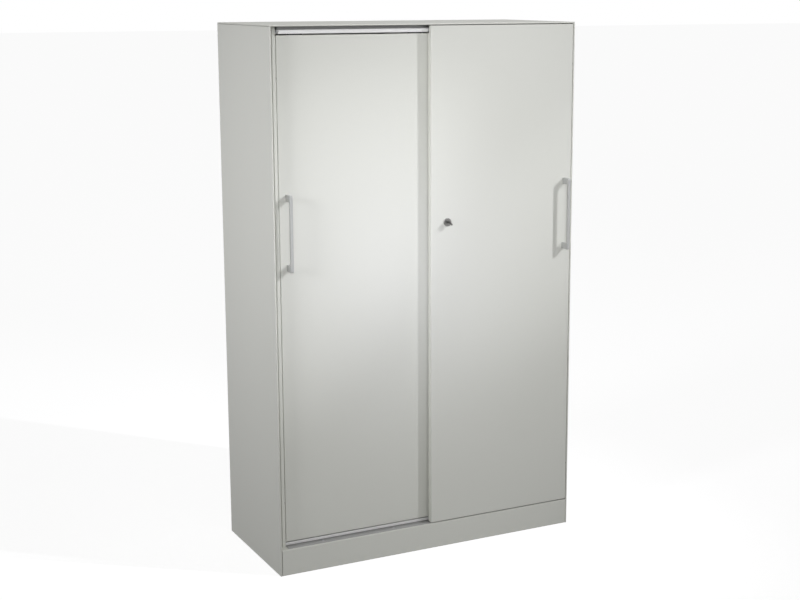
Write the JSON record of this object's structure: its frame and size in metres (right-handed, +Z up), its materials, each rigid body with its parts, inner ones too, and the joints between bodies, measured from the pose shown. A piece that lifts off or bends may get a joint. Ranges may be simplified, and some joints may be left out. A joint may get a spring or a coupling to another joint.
{
  "type": "sliding door cabinet",
  "caption": "Tall light grey steel office cabinet with sliding doors on rollers, bow handles, a turning lock with its key, inner shelves and a flush plinth.",
  "frame": {"origin": "middle of the bounding box's base, on the floor", "axes": "+X to the right along the doors, +Y from the front to the back, +Z up"},
  "size_m": [1, 0.469, 1.617],
  "materials": {
    "light_grey_paint": "light grey powder coat, fine satin texture",
    "track_aluminium": "satin natural anodised extrusion",
    "handle_aluminium": "satin silver",
    "zinc_steel": "bright zinc plated",
    "zinc_fastener": "bright zinc plated",
    "roller_plastic": "natural polyamide",
    "guide_plastic": "dark grey polyamide",
    "buffer_rubber": "black rubber",
    "lock_metal": "satin nickel plated",
    "key_metal": "nickel plated, worn"
  },
  "bodies": {
    "case": {"left_side_panel": "light_grey_paint", "right_side_panel": "light_grey_paint", "top_panel": "light_grey_paint", "back_panel": "light_grey_paint", "back_panel_rivets": "zinc_fastener", "plinth_front": "light_grey_paint", "plinth_rear": "light_grey_paint", "left_base_rail": "light_grey_paint", "right_base_rail": "light_grey_paint", "cabinet_floor": "light_grey_paint", "levelling_feet": "zinc_fastener", "levelling_nuts": "zinc_fastener", "left_front_upright": "light_grey_paint", "right_front_upright": "light_grey_paint", "left_rear_upright": "light_grey_paint", "right_rear_upright": "light_grey_paint", "upper_track": "track_aluminium", "upper_track_rivets": "zinc_fastener", "top_front_rail": "light_grey_paint", "lower_track": "track_aluminium", "lower_track_rivets": "zinc_fastener", "lower_shelf": "light_grey_paint", "middle_shelf": "light_grey_paint", "upper_shelf": "light_grey_paint", "shelf_clips": "zinc_fastener"},
    "left_door": {"left_door_panel": "light_grey_paint", "left_door_stiffeners": "light_grey_paint", "left_handle": "handle_aluminium", "left_handle_screws": "zinc_fastener", "left_roller_brackets": "zinc_steel", "left_roller_axles": "zinc_steel", "left_top_guides": "guide_plastic", "left_door_buffers": "buffer_rubber", "lock_keeper": "zinc_steel", "keeper_screws": "zinc_fastener"},
    "right_door": {"right_door_panel": "light_grey_paint", "right_door_stiffeners": "light_grey_paint", "right_handle": "handle_aluminium", "right_handle_screws": "zinc_fastener", "right_roller_brackets": "zinc_steel", "right_roller_axles": "zinc_steel", "right_top_guides": "guide_plastic", "right_door_buffers": "buffer_rubber", "lock_housing": "lock_metal", "lock_nut": "lock_metal"},
    "left_door_left_wheel": {"left_door_left_roller": "roller_plastic"},
    "left_door_right_wheel": {"left_door_right_roller": "roller_plastic"},
    "right_door_left_wheel": {"right_door_left_roller": "roller_plastic"},
    "right_door_right_wheel": {"right_door_right_roller": "roller_plastic"},
    "lock_cylinder": {"lock_plug": "lock_metal", "lock_cam": "zinc_steel", "cam_screw": "zinc_fastener"},
    "door_key": {"key": "key_metal"}
  },
  "joints": [
    {"name": "left_door_slide", "type": "slide", "parent": "case", "child": "left_door", "axis": [1, 0, 0], "range_m": [0, 0.218]},
    {"name": "right_door_slide", "type": "slide", "parent": "case", "child": "right_door", "axis": [-1, 0, 0], "range_m": [0, 0.218]},
    {"name": "left_door_left_wheel_spin", "type": "hinge", "parent": "left_door", "child": "left_door_left_wheel", "pos_m": [-0.4108, -0.1625, 0.1044], "axis": [0, 1, 0], "continuous": true},
    {"name": "left_door_right_wheel_spin", "type": "hinge", "parent": "left_door", "child": "left_door_right_wheel", "pos_m": [-0.032, -0.1625, 0.1044], "axis": [0, 1, 0], "continuous": true},
    {"name": "right_door_left_wheel_spin", "type": "hinge", "parent": "right_door", "child": "right_door_left_wheel", "pos_m": [0.062, -0.1905, 0.0936], "axis": [0, 1, 0], "continuous": true},
    {"name": "right_door_right_wheel_spin", "type": "hinge", "parent": "right_door", "child": "right_door_right_wheel", "pos_m": [0.4335, -0.1905, 0.0936], "axis": [0, 1, 0], "continuous": true},
    {"name": "lock_turn", "type": "hinge", "parent": "right_door", "child": "lock_cylinder", "pos_m": [0.057, -0.2029, 1.027], "axis": [0, -1, 0], "range_deg": [0, 180]},
    {"name": "key_pull", "type": "slide", "parent": "lock_cylinder", "child": "door_key", "axis": [0, -1, 0], "range_m": [0, 0.03]}
  ],
  "couplings": [
    {"joint": "left_door_left_wheel_spin", "follows": "left_door_slide", "rad_per_m": 95.238},
    {"joint": "left_door_right_wheel_spin", "follows": "left_door_slide", "rad_per_m": 95.238},
    {"joint": "right_door_left_wheel_spin", "follows": "right_door_slide", "rad_per_m": -95.238},
    {"joint": "right_door_right_wheel_spin", "follows": "right_door_slide", "rad_per_m": -95.238}
  ]
}
